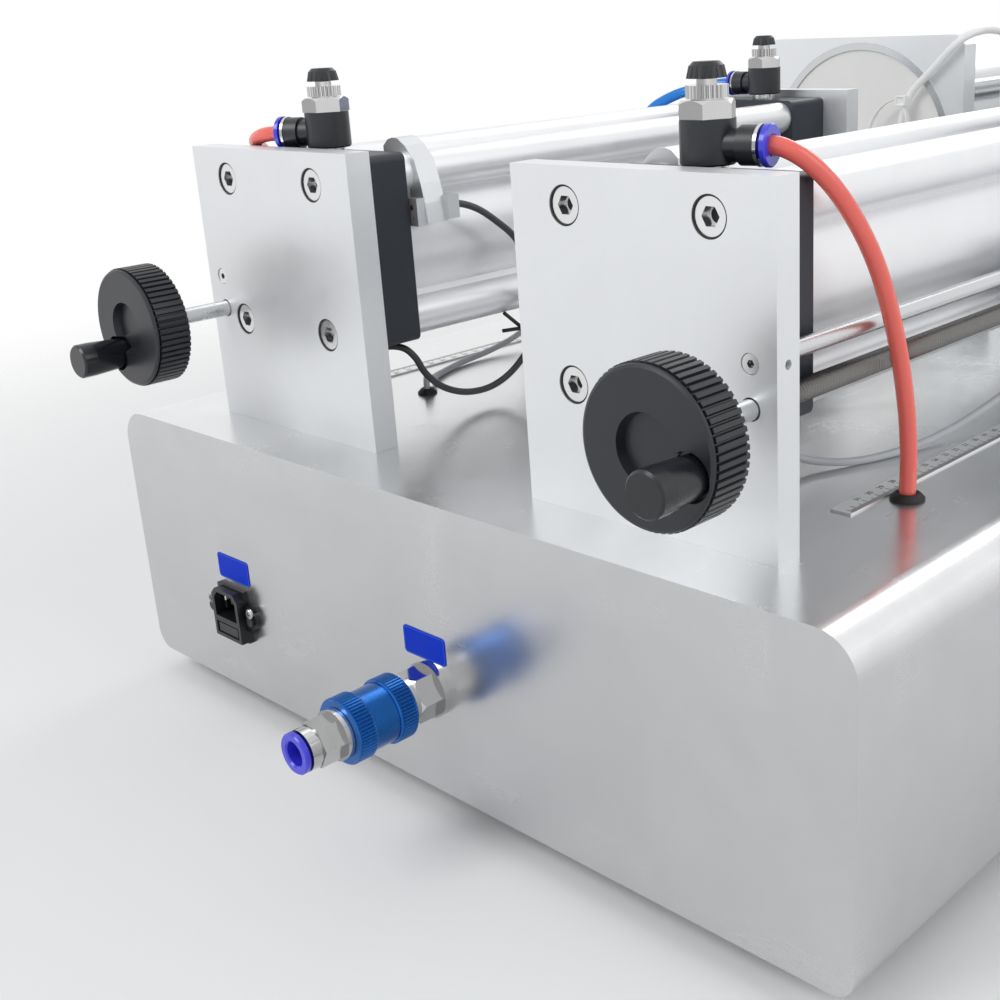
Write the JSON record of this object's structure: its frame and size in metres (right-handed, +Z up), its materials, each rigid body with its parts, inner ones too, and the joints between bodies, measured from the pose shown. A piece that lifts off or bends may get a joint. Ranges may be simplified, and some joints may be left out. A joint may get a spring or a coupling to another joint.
{
  "type": "liquid filling machine",
  "caption": "Twin horizontal piston filling machine: air cylinders drive product pistons, with stroke handwheels, flow control elbows and a stainless steel base.",
  "frame": {"origin": "on the floor plane under the feet, below the middle of the machine's box", "axes": "+Z up, -Y towards the filling nozzles, +Y towards the handwheels and the power inlet, +X to the right as seen from the nozzles' side"},
  "size_m": [0.536, 1.212, 0.477],
  "materials": {
    "base_sheet": "satin brushed stainless sheet with bent edges",
    "cover_sheet": "plain mill finish stainless sheet",
    "foot_rubber": "dull black rubber",
    "machined_plate": "fine bead blasted and clear anodised, crisp edges",
    "cap_black": "satin blue-black coating",
    "barrel_silver": "drawn extrusion, clear anodised",
    "screw_steel": "turned stainless, knurled heads",
    "product_steel": "polished sanitary stainless steel",
    "rod_chrome": "ground and chromed rod",
    "screw_dark": "rolled thread, lightly oiled",
    "bush_bronze": "turned bearing bronze",
    "elbow_black": "satin moulded black plastic",
    "knob_black": "satin moulded black plastic with flutes",
    "nickel": "bright nickel plated brass",
    "grommet_black": "soft black rubber",
    "scale_steel": "satin scale strip with etched ticks",
    "inlet_plastic": "moulded black plastic",
    "clamp_silver": "machined aluminium, clear anodised",
    "unit_grey": "valve block and board inside the base",
    "wheel_black": "moulded thermoset, satin, ribbed rim",
    "grip_black": "moulded thermoset, smooth satin",
    "piston_white": "turned white fluoropolymer with seals",
    "collet_violet": "violet-blue release ring",
    "sleeve_blue": "blue anodised sleeve with knurled bands",
    "plunger_steel": "turned stainless steel",
    "rocker_red": "moulded red plastic",
    "tube_red": "coral red polyurethane air tube",
    "tube_blue": "blue polyurethane air tube",
    "cable_grey": "light grey cable jacket",
    "cable_dark": "dark grey cable jacket",
    "tube_clear": "milky white air tube"
  },
  "bodies": {
    "machine": {"base_housing": "base_sheet", "bottom_cover": "cover_sheet", "rubber_feet": "foot_rubber", "head_plates": "machined_plate", "cylinder_caps": "cap_black", "air_barrels": "barrel_silver", "plate_screws": "screw_steel", "product_plates": "machined_plate", "product_barrels": "product_steel", "front_flanges": "product_steel", "tie_rods": "product_steel", "guide_rods": "rod_chrome", "screw_bushes": "bush_bronze", "flow_elbows": "elbow_black", "flow_stems": "nickel", "tube_grommets": "grommet_black", "ruler_strips": "scale_steel", "power_inlet": "inlet_plastic", "inlet_valve": "nickel", "sensor_clamps": "clamp_silver", "front_pipework": "product_steel", "pipe_clamps": "product_steel", "nozzle_bodies": "product_steel", "inner_unit": "unit_grey", "switch_frame": "inlet_plastic", "left_red_tube": "tube_red", "right_red_tube": "tube_red", "left_blue_tube": "tube_blue", "right_blue_tube": "tube_blue", "left_slider_cable": "cable_grey", "right_slider_cable": "cable_grey", "left_sensor_cable": "cable_dark", "right_sensor_cable": "cable_dark", "left_nozzle_tube": "tube_clear", "right_nozzle_tube": "tube_clear"},
    "left_wheel_and_screw": {"left_handwheel": "wheel_black", "left_lead_screw": "screw_dark"},
    "left_grip_body": {"left_grip": "grip_black"},
    "left_slider_body": {"left_slider": "clamp_silver"},
    "left_pistons": {"left_piston_rod": "rod_chrome", "left_product_piston": "piston_white"},
    "right_wheel_and_screw": {"right_handwheel": "wheel_black", "right_lead_screw": "screw_dark"},
    "right_grip_body": {"right_grip": "grip_black"},
    "right_slider_body": {"right_slider": "clamp_silver"},
    "right_pistons": {"right_piston_rod": "rod_chrome", "right_product_piston": "piston_white"},
    "rear_left_knob_body": {"rear_left_knob": "knob_black"},
    "rear_left_collet_body": {"rear_left_collet": "collet_violet"},
    "rear_right_knob_body": {"rear_right_knob": "knob_black"},
    "rear_right_collet_body": {"rear_right_collet": "collet_violet"},
    "front_left_knob_body": {"front_left_knob": "knob_black"},
    "front_left_collet_body": {"front_left_collet": "collet_violet"},
    "front_right_knob_body": {"front_right_knob": "knob_black"},
    "front_right_collet_body": {"front_right_collet": "collet_violet"},
    "inlet_collet_body": {"inlet_collet": "collet_violet"},
    "inlet_sleeve_body": {"inlet_sleeve": "sleeve_blue"},
    "left_plunger_body": {"left_nozzle_plunger": "plunger_steel"},
    "right_plunger_body": {"right_nozzle_plunger": "plunger_steel"},
    "power_rocker_body": {"power_rocker": "rocker_red"}
  },
  "joints": [
    {"name": "left_screw_spin", "type": "hinge", "parent": "machine", "child": "left_wheel_and_screw", "pos_m": [-0.1922, 0.546, 0.2415], "axis": [0, 1, 0], "range_deg": [-23400, 14400]},
    {"name": "left_grip_spin", "type": "hinge", "parent": "left_wheel_and_screw", "child": "left_grip_body", "pos_m": [-0.21265, 0.552, 0.23486], "axis": [0, 1, 0], "continuous": true},
    {"name": "left_slider_travel", "type": "slide", "parent": "machine", "child": "left_slider_body", "axis": [0, -1, 0], "range_m": [-0.1301, 0.0801]},
    {"name": "left_piston_stroke", "type": "slide", "parent": "machine", "child": "left_pistons", "axis": [0, -1, 0], "range_m": [0, 0.3]},
    {"name": "right_screw_spin", "type": "hinge", "parent": "machine", "child": "right_wheel_and_screw", "pos_m": [0.1922, 0.546, 0.2415], "axis": [0, 1, 0], "range_deg": [-23400, 14400]},
    {"name": "right_grip_spin", "type": "hinge", "parent": "right_wheel_and_screw", "child": "right_grip_body", "pos_m": [0.20659, 0.552, 0.22552], "axis": [0, 1, 0], "continuous": true},
    {"name": "right_slider_travel", "type": "slide", "parent": "machine", "child": "right_slider_body", "axis": [0, -1, 0], "range_m": [-0.1301, 0.0801]},
    {"name": "right_piston_stroke", "type": "slide", "parent": "machine", "child": "right_pistons", "axis": [0, -1, 0], "range_m": [0, 0.3]},
    {"name": "rear_left_knob_turn", "type": "hinge", "parent": "machine", "child": "rear_left_knob_body", "pos_m": [-0.1455, 0.451, 0.372], "axis": [0, 0, 1], "range_deg": [-1440, 1440]},
    {"name": "rear_left_collet_press", "type": "slide", "parent": "machine", "child": "rear_left_collet_body", "axis": [0.9781, 0.2079, 0], "range_m": [0, 0.0012]},
    {"name": "rear_right_knob_turn", "type": "hinge", "parent": "machine", "child": "rear_right_knob_body", "pos_m": [0.1205, 0.451, 0.372], "axis": [0, 0, 1], "range_deg": [-1440, 1440]},
    {"name": "rear_right_collet_press", "type": "slide", "parent": "machine", "child": "rear_right_collet_body", "axis": [-0.9063, -0.4226, 0], "range_m": [0, 0.0012]},
    {"name": "front_left_knob_turn", "type": "hinge", "parent": "machine", "child": "front_left_knob_body", "pos_m": [-0.1455, 0.054, 0.372], "axis": [0, 0, 1], "range_deg": [-1440, 1440]},
    {"name": "front_left_collet_press", "type": "slide", "parent": "machine", "child": "front_left_collet_body", "axis": [1, 0, 0], "range_m": [0, 0.0012]},
    {"name": "front_right_knob_turn", "type": "hinge", "parent": "machine", "child": "front_right_knob_body", "pos_m": [0.1205, 0.054, 0.372], "axis": [0, 0, 1], "range_deg": [-1440, 1440]},
    {"name": "front_right_collet_press", "type": "slide", "parent": "machine", "child": "front_right_collet_body", "axis": [-0.9986, -0.0523, 0], "range_m": [0, 0.0012]},
    {"name": "inlet_collet_press", "type": "slide", "parent": "machine", "child": "inlet_collet_body", "axis": [0, -1, 0], "range_m": [0, 0.0012]},
    {"name": "inlet_sleeve_slide", "type": "slide", "parent": "machine", "child": "inlet_sleeve_body", "axis": [0, -1, 0], "range_m": [0, 0.0045]},
    {"name": "left_plunger_lift", "type": "slide", "parent": "machine", "child": "left_plunger_body", "axis": [0, 0, 1], "range_m": [0, 0.008]},
    {"name": "right_plunger_lift", "type": "slide", "parent": "machine", "child": "right_plunger_body", "axis": [0, 0, 1], "range_m": [0, 0.008]},
    {"name": "power_rocker_tilt", "type": "hinge", "parent": "machine", "child": "power_rocker_body", "pos_m": [0, -0.4745, 0.105], "axis": [1, 0, 0], "range_deg": [0, 8]}
  ],
  "couplings": [
    {"joint": "left_slider_travel", "follows": "left_screw_spin", "m_per_rad": 0.00031831},
    {"joint": "right_slider_travel", "follows": "right_screw_spin", "m_per_rad": 0.00031831}
  ]
}
